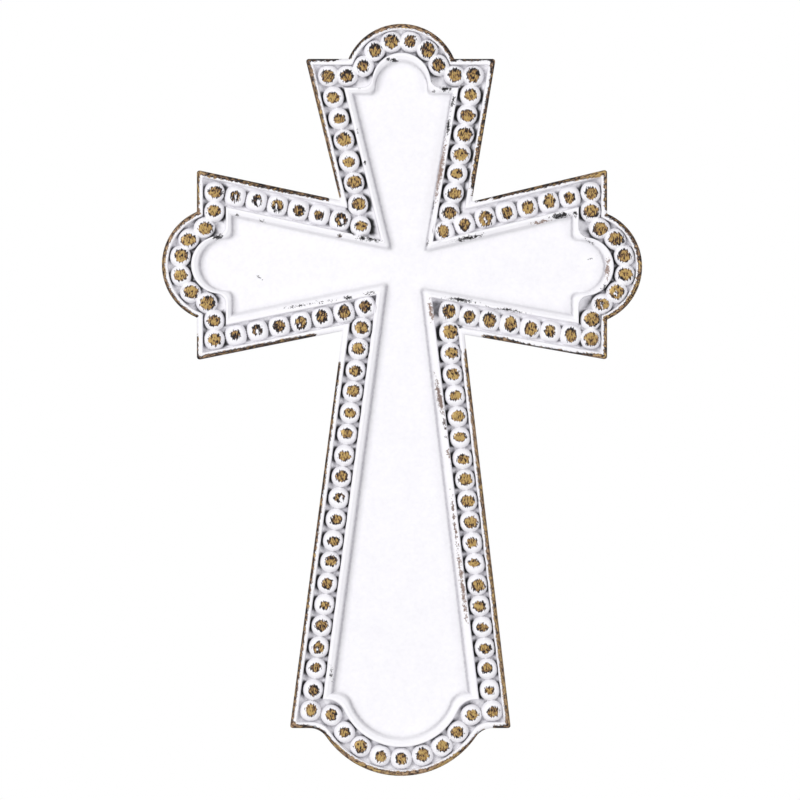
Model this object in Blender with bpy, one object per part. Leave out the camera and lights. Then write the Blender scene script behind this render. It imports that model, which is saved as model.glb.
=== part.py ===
"""Wall cross, cast in one piece of resin and painted.

Its four arms flare from the crossing and end in a round lobe between two square shoulders.
From the outer edge inwards come a narrow rim, a channel with a row of round beads, a stepped
moulding, and a smooth sunken field that runs through all four arms. The back is flat, with an
undercut keyhole slot in the upper arm that drops over a screw head.

Metres, +Z up. The front faces -Y and the back lies on the wall at Y = 0. The origin is on the
back, where the middle lines of the arms cross.
"""

import math
from collections import namedtuple

import bmesh
import bpy
from mathutils import Vector

# From the origin to the shoulders, the straight ends on both sides of each arm's lobe
TOP_SHOULDER = 0.0875
SIDE_SHOULDER = 0.0868
STEM_SHOULDER = 0.1956

# Half widths: of every arm where its edges, drawn on, pass the origin, and at the shoulders
ROOT_HALF_WIDTH = 0.0223
ARM_HALF_WIDTH = 0.0403
STEM_HALF_WIDTH = 0.0468

# Round lobes: how far they stand out beyond the shoulders, and their radii at the outer edge and
# where their wall meets the field
LOBE_RISE = 0.0148
STEM_LOBE_RISE = 0.0202
LOBE_RADIUS = 0.0244
FIELD_LOBE_RADIUS = 0.0110
STEM_LOBE_RADIUS = 0.0386
STEM_FIELD_LOBE_RADIUS = 0.0223

# Radii in the hollow corners between lobe and shoulder: at the outer edge, along the
# moulding's outer edge, and at the field, and the share of the largest that fits there
LOBE_CORNER = 0.0005
LOBE_CORNER_AT_MOULDING = 0.0047
LOBE_CORNER_AT_FIELD = 0.0025
STEM_CORNER = 0.0085
STEM_CORNER_AT_FIELD = 0.0062
CORNER_SHARE = 0.95

# Widths of the bands, measured inwards from the outer edge. Along the shoulders the moulding
# is a little narrower.
EDGE_BEVEL = 0.0013
RIM_WIDTH = 0.0027
CREST_WIDTH = 0.0017
STEP_WIDTH = 0.0011
FIELD_WALL_RUN = 0.0012
DRAFT = 0.0004
SHOULDER_SAVING = 0.0011

# Heights
RIM_HEIGHT = 0.0130
CHANNEL_DEPTH = 0.0032
CREST_RISE = 0.0005
STEP_DROP = 0.0009
FIELD_DEPTH = 0.0042

# Beads: flattened domes, with a gap between them, smaller along the ends of the arms, and a gap
# to the walls of their channel
BEAD_DIAMETER = 0.0084
BEAD_HEIGHT = 0.0036
BEAD_GAP = 0.00048
END_BEAD_GAP = 0.00036
BEAD_SIDE_GAP = 0.00045
BEAD_ROOT = 0.0008
BEAD_CROWN_ANGLE = math.radians(60)

# Keyhole slot in the back of the upper arm, for a screw: a round mouth, a neck above it and a
# wider pocket behind the neck, with a lip of resin that the screw head hangs behind
SCREW_HEAD_DIAMETER = 0.0084
SCREW_SHANK_DIAMETER = 0.0044
SCREW_PLAY = 0.0003
KEYHOLE_HEIGHT = 0.0560
KEYHOLE_DROP = 0.0085
KEYHOLE_LIP = 0.0022
KEYHOLE_DEPTH = 0.0055
CUT_MARGIN = 0.0010

# Flats on the round stretches, and rounds of evening out the gaps between beads
LOBE_STEPS = 16
CORNER_STEPS = 3
BEAD_SIDES = 8
BEAD_RINGS = 2
KEYHOLE_SIDES = 16
EVENING_ROUNDS = 12

PAINT = ("white paint", (0.90, 0.89, 0.91, 1.0), 0.55, 0.0)
WORN = ("worn gold", (0.40, 0.25, 0.07, 1.0), 0.45, 0.3)

Arm = namedtuple("Arm", "turn shoulder half_width rise lobe_radius field_lobe_radius corners leans"
                        " drifts")

# A mould made by hand: each arm's middle line passes the origin, the middle of the shoulders and
# the middle of the lobe a little to one side, positive anticlockwise as the front is seen. The
# drifts are how far the bead line and the moulding stand in further than even bands would, along
# the side that comes first anticlockwise, the end and the other side.
LOBE_CORNERS = (LOBE_CORNER, LOBE_CORNER_AT_MOULDING, LOBE_CORNER_AT_FIELD)
STEM_CORNERS = (STEM_CORNER, STEM_CORNER, STEM_CORNER_AT_FIELD)
ARMS = {
    "right": Arm(0, SIDE_SHOULDER, ARM_HALF_WIDTH, LOBE_RISE, LOBE_RADIUS, FIELD_LOBE_RADIUS,
                 LOBE_CORNERS, (-0.0021, 0.0005, -0.0004),
                 ((0.0002, 0.0009), (-0.0004, 0.0), (0.0005, 0.0007))),
    "top": Arm(1, TOP_SHOULDER, ARM_HALF_WIDTH, LOBE_RISE, LOBE_RADIUS, FIELD_LOBE_RADIUS,
               LOBE_CORNERS, (-0.0028, 0.0006, 0.0003),
               ((0.0008, 0.0015), (-0.0002, 0.0002), (0.0004, 0.0009))),
    "left": Arm(2, SIDE_SHOULDER, ARM_HALF_WIDTH, LOBE_RISE, LOBE_RADIUS, FIELD_LOBE_RADIUS,
                LOBE_CORNERS, (0.0002, -0.0003, -0.0004),
                ((0.0004, 0.0008), (0.0001, 0.0004), (-0.0002, 0.0))),
    "stem": Arm(3, STEM_SHOULDER, STEM_HALF_WIDTH, STEM_LOBE_RISE, STEM_LOBE_RADIUS,
                STEM_FIELD_LOBE_RADIUS, STEM_CORNERS, (0.0008, -0.0007, -0.0004),
                ((0.0004, 0.0002), (0.0, 0.0002), (-0.0003, -0.0001))),
}
ARM_ORDER = ("right", "top", "left", "stem")

# How far the bead in each armpit stands from the corner of the bead line, as (X, Z), named by
# the arm that follows the armpit
ARMPIT_BEAD_SHIFTS = {
    "right": (0.0017, 0.0008),
    "top": (-0.0019, -0.0024),
    "left": (-0.0017, -0.0010),
    "stem": (0.0006, 0.0012),
}
ARMPIT_DRAW = 0.0270

BEAD_INSET = RIM_WIDTH + BEAD_SIDE_GAP + BEAD_DIAMETER / 2
MOULDING_START = 2 * BEAD_INSET - RIM_WIDTH
FIELD_START = MOULDING_START + CREST_WIDTH + STEP_WIDTH + FIELD_WALL_RUN + DRAFT
CHANNEL_HEIGHT = RIM_HEIGHT - CHANNEL_DEPTH
CREST_HEIGHT = RIM_HEIGHT + CREST_RISE
FIELD_HEIGHT = CREST_HEIGHT - FIELD_DEPTH


def lerp(start, end, share):
    return start + (end - start) * share


def moulding_section():
    """Lines of the relief from the wall to the field, each as (inset from the outer edge,
    height over the back)."""
    crest_end = MOULDING_START + CREST_WIDTH
    step_end = crest_end + DRAFT + STEP_WIDTH
    step_height = CREST_HEIGHT - STEP_DROP
    return [
        (0.0, 0.0),
        (0.0, RIM_HEIGHT - EDGE_BEVEL),
        (EDGE_BEVEL, RIM_HEIGHT),
        (RIM_WIDTH, RIM_HEIGHT),
        (RIM_WIDTH + DRAFT, CHANNEL_HEIGHT),
        (MOULDING_START - DRAFT, CHANNEL_HEIGHT),
        (MOULDING_START, CREST_HEIGHT),
        (crest_end, CREST_HEIGHT),
        (crest_end + DRAFT, step_height),
        (step_end, step_height),
        (FIELD_START, FIELD_HEIGHT),
    ]


def on_arm(arm, out, across):
    """The point (X, Z) that lies so far out along an arm and across it, anticlockwise."""
    angle = arm.turn * math.pi / 2
    cos, sin = math.cos(angle), math.sin(angle)
    return Vector((out * cos - across * sin, out * sin + across * cos))


def moved_in(arm, part, inset):
    """An inset with the border's unevenness on one part of an arm: 0 for the side that comes
    first anticlockwise, 1 for the end, 2 for the other side."""
    at_beads, at_moulding = arm.drifts[part]
    if inset <= RIM_WIDTH:
        return inset
    if inset <= BEAD_INSET:
        return inset + at_beads * (inset - RIM_WIDTH) / (BEAD_INSET - RIM_WIDTH)
    if inset <= MOULDING_START:
        share = (inset - BEAD_INSET) / (MOULDING_START - BEAD_INSET)
        return inset + lerp(at_beads, at_moulding, share)
    share = (inset - MOULDING_START) / (FIELD_START - MOULDING_START)
    return inset + at_moulding * max(0.0, 1 - share)


def side_line(arm, side, inset):
    """One edge of an arm, moved in by the inset, as a point and a direction. The side is -1 for
    the edge that comes first anticlockwise and 1 for the other."""
    root_lean, end_lean, _ = arm.leans
    root = on_arm(arm, 0.0, root_lean + side * ROOT_HALF_WIDTH)
    end = on_arm(arm, arm.shoulder, end_lean + side * arm.half_width)
    direction = (end - root).normalized()
    inward = Vector((direction.y, -direction.x)) * side
    return root + inward * moved_in(arm, 1 + side, inset), direction


def meeting_point(line, other):
    (point, direction), (other_point, other_direction) = line, other
    share = (other_point - point).cross(other_direction) / direction.cross(other_direction)
    return point + direction * share


def armpit(name, inset):
    """Corner between an arm and the arm before it."""
    before = ARMS[ARM_ORDER[ARM_ORDER.index(name) - 1]]
    return meeting_point(side_line(before, 1, inset), side_line(ARMS[name], -1, inset))


def end_sizes(arm, inset):
    """How far out the shoulders lie at an inset, the lobe's radius, and the radius wanted in the
    hollow corners beside it."""
    at_edge, at_moulding, at_field = arm.corners
    shoulder = arm.shoulder - inset
    if inset <= MOULDING_START:
        hollow = lerp(at_edge, at_moulding, inset / MOULDING_START)
        return shoulder, arm.lobe_radius - inset, hollow
    share = (inset - MOULDING_START) / (FIELD_START - MOULDING_START)
    radius = lerp(arm.lobe_radius - MOULDING_START, arm.field_lobe_radius, share)
    return shoulder + SHOULDER_SAVING * share, radius, lerp(at_moulding, at_field, share)


def arc(centre, radius, start, end, steps):
    """Points on an arc in an arm's own directions, both ends included."""
    angles = [lerp(start, end, step / steps) for step in range(steps + 1)]
    return [(centre[0] + radius * math.cos(a), centre[1] + radius * math.sin(a)) for a in angles]


def end_of_arm(arm, inset):
    """Outline of an arm's end from its first shoulder corner to its last: shoulder, hollow
    corner, lobe, hollow corner, shoulder."""
    lobe_lean = arm.leans[2]
    end_inset = moved_in(arm, 1, inset)
    shoulder, radius, wanted = end_sizes(arm, end_inset)
    lobe_out = arm.shoulder + arm.rise - end_inset - radius
    below = shoulder - lobe_out
    across = on_arm(arm, 0.0, 1.0)
    level = (on_arm(arm, shoulder, 0.0), across)
    corners = [meeting_point(side_line(arm, side, inset), level) for side in (-1, 1)]

    hollows = []
    for side, corner in zip((-1, 1), corners):
        room = abs(corner.dot(across) - lobe_lean)
        widest = (room ** 2 - radius ** 2 + below ** 2) / (2 * (radius - below))
        hollow = min(wanted, CORNER_SHARE * widest)
        aside = math.sqrt((radius + hollow) ** 2 - (below + hollow) ** 2)
        hollows.append((side, hollow, aside, math.atan2(side * aside, below + hollow)))

    points = []
    _, hollow, aside, lobe_start = hollows[0]
    centre = (shoulder + hollow, lobe_lean - aside)
    points += arc(centre, hollow, math.pi, math.pi + lobe_start, CORNER_STEPS)
    lobe_end = hollows[1][3]
    points += arc((lobe_out, lobe_lean), radius, lobe_start, lobe_end, LOBE_STEPS)[1:-1]
    _, hollow, aside, _ = hollows[1]
    centre = (shoulder + hollow, lobe_lean + aside)
    points += arc(centre, hollow, lobe_end - math.pi, -math.pi, CORNER_STEPS)
    return [corners[0]] + [on_arm(arm, *point) for point in points] + [corners[1]]


def outline(inset):
    """The cross's outline, moved in by the inset, anticlockwise as the front is seen."""
    points = []
    for name in ARM_ORDER:
        points.append(armpit(name, inset))
        points.extend(end_of_arm(ARMS[name], inset))
    return points


def place_along(points, distance):
    """The point on a line of points that lies so far along it."""
    for start, end in zip(points, points[1:]):
        length = (end - start).length
        if distance <= length:
            return start.lerp(end, distance / length)
        distance -= length
    return points[-1].copy()


def line_length(points):
    return sum((end - start).length for start, end in zip(points, points[1:]))


def spaced_places(points, pitch):
    """Places on a line of points, without its two ends, that are all the same straight distance
    apart, about one pitch."""
    total = line_length(points)
    count = max(1, round(total / pitch))
    strides = [total / count] * count
    for _ in range(EVENING_ROUNDS):
        places = [place_along(points, sum(strides[:number])) for number in range(count + 1)]
        gaps = [(end - start).length for start, end in zip(places, places[1:])]
        strides = [stride / gap for stride, gap in zip(strides, gaps)]
        strides = [stride * total / sum(strides) for stride in strides]
    return places[1:-1]


def bead_centres():
    """A bead in every armpit and every shoulder corner, and evenly spaced ones between them. An
    armpit's bead may stand off the bead lines that meet there, and draws the next few with it."""
    pitch = BEAD_DIAMETER + BEAD_GAP
    pits = {name: armpit(name, BEAD_INSET) + Vector(ARMPIT_BEAD_SHIFTS[name]) for name in ARM_ORDER}
    centres = list(pits.values())
    for number, name in enumerate(ARM_ORDER):
        arm = ARMS[name]
        end = end_of_arm(arm, BEAD_INSET)
        centres += [end[0], end[-1]] + spaced_places(end, BEAD_DIAMETER + END_BEAD_GAP)
        following = ARM_ORDER[(number + 1) % len(ARM_ORDER)]
        for side, pit, corner in ((-1, pits[name], end[0]), (1, pits[following], end[-1])):
            point, direction = side_line(arm, side, BEAD_INSET)
            start = point + direction * (pit - point).dot(direction)
            for place in spaced_places([start, corner], pitch):
                draw = max(0.0, 1 - (place - start).length / ARMPIT_DRAW) ** 2
                centres.append(place + (pit - start) * draw)
    return centres


def loft(bm, rings):
    """Adds a closed solid through rings of equally many points, each ring as (points, height)
    from back to front. Its faces come ring by ring, then its back, then its front."""
    loops = [[bm.verts.new((p[0], -height, p[1])) for p in points] for points, height in rings]
    faces = []
    for back, front in zip(loops, loops[1:]):
        for number in range(len(back)):
            after = (number + 1) % len(back)
            faces.append(bm.faces.new((back[number], back[after], front[after], front[number])))
    faces.append(bm.faces.new(reversed(loops[0])))
    faces.append(bm.faces.new(loops[-1]))
    return faces


def circle(centre, diameter, sides):
    """A ring of points round a centre (X, Z), with flats facing left, right, up and down."""
    angles = [(number + 0.5) * 2 * math.pi / sides for number in range(sides)]
    radius = diameter / 2
    return [(centre[0] + radius * math.cos(a), centre[1] + radius * math.sin(a)) for a in angles]


def slot(centre, width, length, sides):
    """A ring of points round an upright slot with round ends, whose lower end has this centre."""
    ring = circle(centre, width, sides)
    return [(x, z) if z < centre[1] else (x, z + length) for x, z in ring]


def new_material(name, colour, roughness, metallic):
    material = bpy.data.materials.new(name)
    material.use_nodes = True
    material.diffuse_color = colour
    shader = material.node_tree.nodes["Principled BSDF"]
    shader.inputs["Base Color"].default_value = colour
    shader.inputs["Roughness"].default_value = roughness
    shader.inputs["Metallic"].default_value = metallic
    return material


def new_object(name, bm, collection, materials):
    bmesh.ops.recalc_face_normals(bm, faces=bm.faces)
    mesh = bpy.data.meshes.new(name)
    bm.to_mesh(mesh)
    bm.free()
    for material in materials:
        mesh.materials.append(material)
    obj = bpy.data.objects.new(name, mesh)
    collection.objects.link(obj)
    return obj


def add_boolean(obj, operation, tool):
    tool.hide_render = True
    tool.display_type = "WIRE"
    modifier = obj.modifiers.new(tool.name, "BOOLEAN")
    modifier.operation = operation
    modifier.solver = "EXACT"
    modifier.use_self = operation == "UNION"
    modifier.object = tool


def make_body(collection, materials):
    """The cross without its beads and slot. The bevel along its outer edge is worn to gold."""
    bm = bmesh.new()
    rings = [(outline(inset), height) for inset, height in moulding_section()]
    faces = loft(bm, rings)
    around = len(rings[0][0])
    for face in faces[around:2 * around]:
        face.material_index = 1
    return new_object("cross", bm, collection, materials)


def make_beads(collection, materials):
    """All beads in one mesh, rooted a little under the channel's floor, with worn gold crowns."""
    section = [(BEAD_DIAMETER, -BEAD_ROOT)]
    for ring in range(BEAD_RINGS):
        angle = BEAD_CROWN_ANGLE * (ring + 1) / BEAD_RINGS
        rise = BEAD_HEIGHT * math.sin(angle) / math.sin(BEAD_CROWN_ANGLE)
        section.append((BEAD_DIAMETER * math.cos(angle), rise))
    bm = bmesh.new()
    for centre in bead_centres():
        rings = [(circle(centre, diameter, BEAD_SIDES), CHANNEL_HEIGHT + rise)
                 for diameter, rise in section]
        crown = loft(bm, rings)[-1]
        crown.material_index = 1
    return new_object("beads", bm, collection, materials)


def make_keyhole(collection):
    """The cutters of the keyhole slot: its mouth, its neck and the pocket behind the neck."""
    centre = (0.0, KEYHOLE_HEIGHT)
    mouth = circle(centre, SCREW_HEAD_DIAMETER + 4 * SCREW_PLAY, KEYHOLE_SIDES)
    neck = slot(centre, SCREW_SHANK_DIAMETER + 2 * SCREW_PLAY, KEYHOLE_DROP, KEYHOLE_SIDES)
    pocket = slot(centre, SCREW_HEAD_DIAMETER + 2 * SCREW_PLAY, KEYHOLE_DROP, KEYHOLE_SIDES)
    cuts = {
        "keyhole_mouth": (mouth, -CUT_MARGIN, KEYHOLE_DEPTH),
        "keyhole_neck": (neck, -CUT_MARGIN, KEYHOLE_LIP + SCREW_PLAY),
        "keyhole_pocket": (pocket, KEYHOLE_LIP, KEYHOLE_DEPTH - SCREW_PLAY),
    }
    cutters = []
    for name, (points, start, end) in cuts.items():
        bm = bmesh.new()
        loft(bm, [(points, start), (points, end)])
        cutters.append(new_object(name, bm, collection, []))
    return cutters


def main():
    for obj in list(bpy.data.objects):
        bpy.data.objects.remove(obj)
    parts = bpy.data.collections.new("Wall cross")
    tools = bpy.data.collections.new("Cutters")
    for collection in (parts, tools):
        bpy.context.scene.collection.children.link(collection)

    materials = [new_material(*PAINT), new_material(*WORN)]
    cross = make_body(parts, materials)
    add_boolean(cross, "UNION", make_beads(tools, materials))
    for cutter in make_keyhole(tools):
        add_boolean(cross, "DIFFERENCE", cutter)


main()
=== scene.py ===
import math
from collections import namedtuple

import bmesh
import bpy
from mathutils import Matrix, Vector, geometry, noise
from mathutils.kdtree import KDTree


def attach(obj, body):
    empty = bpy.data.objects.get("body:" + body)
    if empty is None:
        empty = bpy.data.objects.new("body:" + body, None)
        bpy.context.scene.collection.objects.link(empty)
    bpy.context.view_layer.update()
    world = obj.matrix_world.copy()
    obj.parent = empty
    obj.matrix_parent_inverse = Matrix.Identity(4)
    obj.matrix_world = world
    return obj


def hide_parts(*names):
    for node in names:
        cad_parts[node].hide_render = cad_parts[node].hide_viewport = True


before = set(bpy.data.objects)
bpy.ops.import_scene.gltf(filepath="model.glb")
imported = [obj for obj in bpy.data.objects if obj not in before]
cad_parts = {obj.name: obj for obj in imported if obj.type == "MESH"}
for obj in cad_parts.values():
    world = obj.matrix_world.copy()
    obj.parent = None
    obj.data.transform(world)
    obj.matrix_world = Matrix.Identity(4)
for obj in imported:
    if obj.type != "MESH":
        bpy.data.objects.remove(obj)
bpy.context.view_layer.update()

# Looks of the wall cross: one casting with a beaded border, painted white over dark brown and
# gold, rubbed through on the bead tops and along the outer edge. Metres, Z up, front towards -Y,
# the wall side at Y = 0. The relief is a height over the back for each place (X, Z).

# Sizes of the cast cross, as the solid has them
TOP_SHOULDER = 0.0875
SIDE_SHOULDER = 0.0868
STEM_SHOULDER = 0.1956
ROOT_HALF_WIDTH = 0.0223
ARM_HALF_WIDTH = 0.0403
STEM_HALF_WIDTH = 0.0468
LOBE_RISE = 0.0148
STEM_LOBE_RISE = 0.0202
LOBE_RADIUS = 0.0244
FIELD_LOBE_RADIUS = 0.0110
STEM_LOBE_RADIUS = 0.0386
STEM_FIELD_LOBE_RADIUS = 0.0223
LOBE_CORNER = 0.0005
LOBE_CORNER_AT_MOULDING = 0.0047
LOBE_CORNER_AT_FIELD = 0.0025
STEM_CORNER = 0.0085
STEM_CORNER_AT_FIELD = 0.0062
CORNER_SHARE = 0.95
EDGE_BEVEL = 0.0013
RIM_WIDTH = 0.0027
CREST_WIDTH = 0.0017
STEP_WIDTH = 0.0011
FIELD_WALL_RUN = 0.0012
DRAFT = 0.0004
SHOULDER_SAVING = 0.0011
RIM_HEIGHT = 0.0130
CHANNEL_DEPTH = 0.0032
CREST_RISE = 0.0005
STEP_DROP = 0.0009
FIELD_DEPTH = 0.0042
BEAD_DIAMETER = 0.0084
BEAD_HEIGHT = 0.0036
BEAD_GAP = 0.00048
END_BEAD_GAP = 0.00036
BEAD_SIDE_GAP = 0.00045
ARMPIT_DRAW = 0.0270
EVENING_ROUNDS = 12
SCREW_HEAD_DIAMETER = 0.0084
SCREW_SHANK_DIAMETER = 0.0044
SCREW_PLAY = 0.0003
KEYHOLE_HEIGHT = 0.0560
KEYHOLE_DROP = 0.0085
KEYHOLE_LIP = 0.0022
KEYHOLE_DEPTH = 0.0055
CUT_MARGIN = 0.0010
KEYHOLE_SIDES = 32

BEAD_INSET = RIM_WIDTH + BEAD_SIDE_GAP + BEAD_DIAMETER / 2
MOULDING_START = 2 * BEAD_INSET - RIM_WIDTH
FIELD_START = MOULDING_START + CREST_WIDTH + STEP_WIDTH + FIELD_WALL_RUN + DRAFT
CHANNEL_HEIGHT = RIM_HEIGHT - CHANNEL_DEPTH
CREST_HEIGHT = RIM_HEIGHT + CREST_RISE
FIELD_HEIGHT = CREST_HEIGHT - FIELD_DEPTH

# An arm's end: half its width at the shoulders, how far the lobe stands out beyond them, the
# lobe's radius at the outline and at the field, and the radius of the hollow corners beside it at
# the outline, the moulding and the field
UPPER_END = (ARM_HALF_WIDTH, LOBE_RISE, LOBE_RADIUS, FIELD_LOBE_RADIUS,
             (LOBE_CORNER, LOBE_CORNER_AT_MOULDING, LOBE_CORNER_AT_FIELD))
STEM_END = (STEM_HALF_WIDTH, STEM_LOBE_RISE, STEM_LOBE_RADIUS, STEM_FIELD_LOBE_RADIUS,
            (STEM_CORNER, STEM_CORNER, STEM_CORNER_AT_FIELD))

# Each arm with its quarter turns, its shoulders' distance, its end, how far its root, its
# shoulders and its lobe lean anticlockwise, and how far the bead line and the moulding drift
# inwards on the side that comes first anticlockwise, at the end and on the other side
Arm = namedtuple("Arm", "turn shoulder half_width rise lobe_radius field_lobe_radius corners leans"
                        " drifts")
ARMS = {
    "right": Arm(0, SIDE_SHOULDER, *UPPER_END, (-0.0021, 0.0005, -0.0004),
                 ((0.0002, 0.0009), (-0.0004, 0.0), (0.0005, 0.0007))),
    "top": Arm(1, TOP_SHOULDER, *UPPER_END, (-0.0028, 0.0006, 0.0003),
               ((0.0008, 0.0015), (-0.0002, 0.0002), (0.0004, 0.0009))),
    "left": Arm(2, SIDE_SHOULDER, *UPPER_END, (0.0002, -0.0003, -0.0004),
                ((0.0004, 0.0008), (0.0001, 0.0004), (-0.0002, 0.0))),
    "stem": Arm(3, STEM_SHOULDER, *STEM_END, (0.0008, -0.0007, -0.0004),
                ((0.0004, 0.0002), (0.0, 0.0002), (-0.0003, -0.0001))),
}
ARM_ORDER = ("right", "top", "left", "stem")

# How far the bead in the armpit before each arm stands from the bead lines' meeting point
ARMPIT_BEAD_SHIFTS = {
    "right": (0.0017, 0.0008),
    "top": (-0.0019, -0.0024),
    "left": (-0.0017, -0.0010),
    "stem": (0.0006, 0.0012),
}

# How finely the relief is drawn: points on each stretch of a ring, round and across a bead, and on
# the field and its flecks, in rows and columns about their middles
SIDE_STEP = 0.0014
TIP_STEPS = 7
CORNER_STEPS = 4
SHOULDER_STEPS = 8
HOLLOW_STEPS = 7
LOBE_STEPS = 56
BEAD_SIDES = 30
BEAD_SHARES = (0.17, 0.33, 0.48, 0.62, 0.74, 0.84, 0.91, 0.96, 0.995, 1.03)
FOOT_SHARE = 1.12
FIELD_STEP = 0.0030
FIELD_GRID = (range(-73, 37), range(-40, 40))
FLECK_STEP = 0.00031
FLECK_GRID = (range(-4, 5), range(-5, 6))

# Softness of the relief: its section, its shoulder corners with what they lose over an inset, the
# most of an edge that a rounding takes up, its armpits, and where beads and bridges blend in
SECTION_BLUR = 0.0002
CHANNEL_EASE = 0.00018
WALL_DRAFT = 0.0002
OUTLINE_CORNER = 0.0011
CORNER_LOSS = 0.25
SMALLEST_CORNER = 0.0001
LONGEST_REACH = 0.45
TIP_RADIUS = 0.0004
FIELD_TIP_RADIUS = 0.0013
BEAD_BLEND = 0.00045
BRIDGE_BLEND = 0.0005

# Unevenness of the coat, and the share of it on the field, the edge and the wall
PAINT_SWELL = 0.00009
SWELL_SCALE = 260
FINE_SWELL = 0.00003
FINE_SWELL_SCALE = 900
CALM_SHARE = 0.3


def lerp(start, end, share):
    return start + (end - start) * share


def ease(share):
    share = min(max(share, 0.0), 1.0)
    return share * share * (3 - 2 * share)


def eased(value, start, run):
    """0 up to a start, 1 past the run after it, eased between."""
    return ease((value - start) / run)


def at_stops(stops, at):
    """The values at a place along stops, each a place and its values."""
    if at <= stops[0][0]:
        return stops[0][1:]
    for (start, *low), (end, *high) in zip(stops, stops[1:]):
        if at <= end:
            return [lerp(*pair, (at - start) / (end - start)) for pair in zip(low, high)]
    return stops[-1][1:]


# Outline of the cross, moved in by an inset, as the solid has it


def on_arm(arm, out, across):
    """The point (X, Z) that lies so far out along an arm and across it, anticlockwise."""
    angle = arm.turn * math.pi / 2
    cos, sin = math.cos(angle), math.sin(angle)
    return Vector((out * cos - across * sin, out * sin + across * cos))


def moved_in(arm, part, inset):
    """An inset with the border's unevenness on one part of an arm: 0 for the side that comes
    first anticlockwise, 1 for the end, 2 for the other side."""
    at_beads, at_moulding = arm.drifts[part]
    stops = ((RIM_WIDTH, 0.0), (BEAD_INSET, at_beads), (MOULDING_START, at_moulding),
             (FIELD_START, 0.0))
    return inset + at_stops(stops, inset)[0]


def side_line(arm, side, inset):
    """One edge of an arm, moved in by the inset, as a point and a direction."""
    root_lean, end_lean, _ = arm.leans
    root = on_arm(arm, 0.0, root_lean + side * ROOT_HALF_WIDTH)
    end = on_arm(arm, arm.shoulder, end_lean + side * arm.half_width)
    direction = (end - root).normalized()
    inward = Vector((direction.y, -direction.x)) * side
    return root + inward * moved_in(arm, 1 + side, inset), direction


def meeting_point(line, other):
    """Where two lines cross, each a point and a direction."""
    (point, direction), (other_point, other_direction) = line, other
    share = (other_point - point).cross(other_direction) / direction.cross(other_direction)
    return point + direction * share


def armpit(name, inset):
    """The inner corner between an arm and the one before it."""
    before = ARMS[ARM_ORDER[ARM_ORDER.index(name) - 1]]
    return meeting_point(side_line(before, 1, inset), side_line(ARMS[name], -1, inset))


def end_sizes(arm, inset):
    """How far out the shoulders lie at an inset, the lobe's radius, and the radius wanted in the
    hollow corners beside it."""
    at_edge, at_moulding, at_field = arm.corners
    shoulder = arm.shoulder - inset
    if inset <= MOULDING_START:
        hollow = lerp(at_edge, at_moulding, inset / MOULDING_START)
        return shoulder, arm.lobe_radius - inset, hollow
    share = (inset - MOULDING_START) / (FIELD_START - MOULDING_START)
    radius = lerp(arm.lobe_radius - MOULDING_START, arm.field_lobe_radius, share)
    saving = SHOULDER_SAVING * min(share, 1.0)
    return shoulder + saving, radius, lerp(at_moulding, at_field, min(share, 1.0))


def arc(centre, radius, start, end, steps):
    """Points on an arc in an arm's own directions, both ends included."""
    angles = [lerp(start, end, step / steps) for step in range(steps + 1)]
    return [(centre[0] + radius * math.cos(a), centre[1] + radius * math.sin(a)) for a in angles]


def end_of_arm(arm, inset, hollow_steps=3, lobe_steps=16):
    """Outline of an arm's end from its first shoulder corner to its last."""
    lobe_lean = arm.leans[2]
    end_inset = moved_in(arm, 1, inset)
    shoulder, radius, wanted = end_sizes(arm, end_inset)
    lobe_out = arm.shoulder + arm.rise - end_inset - radius
    below = shoulder - lobe_out
    across = on_arm(arm, 0.0, 1.0)
    level = (on_arm(arm, shoulder, 0.0), across)
    corners = [meeting_point(side_line(arm, side, inset), level) for side in (-1, 1)]

    lobe_turns, hollows = [], []
    for side, corner in zip((-1, 1), corners):
        room = abs(corner.dot(across) - lobe_lean)
        widest = (room ** 2 - radius ** 2 + below ** 2) / (2 * (radius - below))
        hollow = min(wanted, CORNER_SHARE * widest)
        aside = math.sqrt((radius + hollow) ** 2 - (below + hollow) ** 2)
        turn = math.atan2(side * aside, below + hollow)
        centre = (shoulder + hollow, lobe_lean + side * aside)
        lobe_turns.append(turn)
        hollows.append(arc(centre, hollow, -side * math.pi, turn - side * math.pi, hollow_steps))
    lobe = arc((lobe_out, lobe_lean), radius, *lobe_turns, lobe_steps)
    points = [on_arm(arm, *point) for point in hollows[0] + lobe[1:-1] + hollows[1][::-1]]
    return [corners[0]] + points + [corners[1]]


def place_along(points, distance):
    """The place at a distance along a line of points."""
    for start, end in zip(points, points[1:]):
        length = (end - start).length
        if distance <= length:
            return start.lerp(end, distance / length)
        distance -= length
    return points[-1].copy()


def line_length(points):
    return sum((end - start).length for start, end in zip(points, points[1:]))


def spaced_places(points, pitch):
    """Places on a line of points, its two ends included, that are all the same straight distance
    apart, about one pitch."""
    total = line_length(points)
    count = max(1, round(total / pitch))
    strides = [total / count] * count
    for _ in range(EVENING_ROUNDS):
        places = [place_along(points, sum(strides[:number])) for number in range(count + 1)]
        gaps = [(end - start).length for start, end in zip(places, places[1:])]
        strides = [stride / gap for stride, gap in zip(strides, gaps)]
        strides = [stride * total / sum(strides) for stride in strides]
    return places


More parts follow.
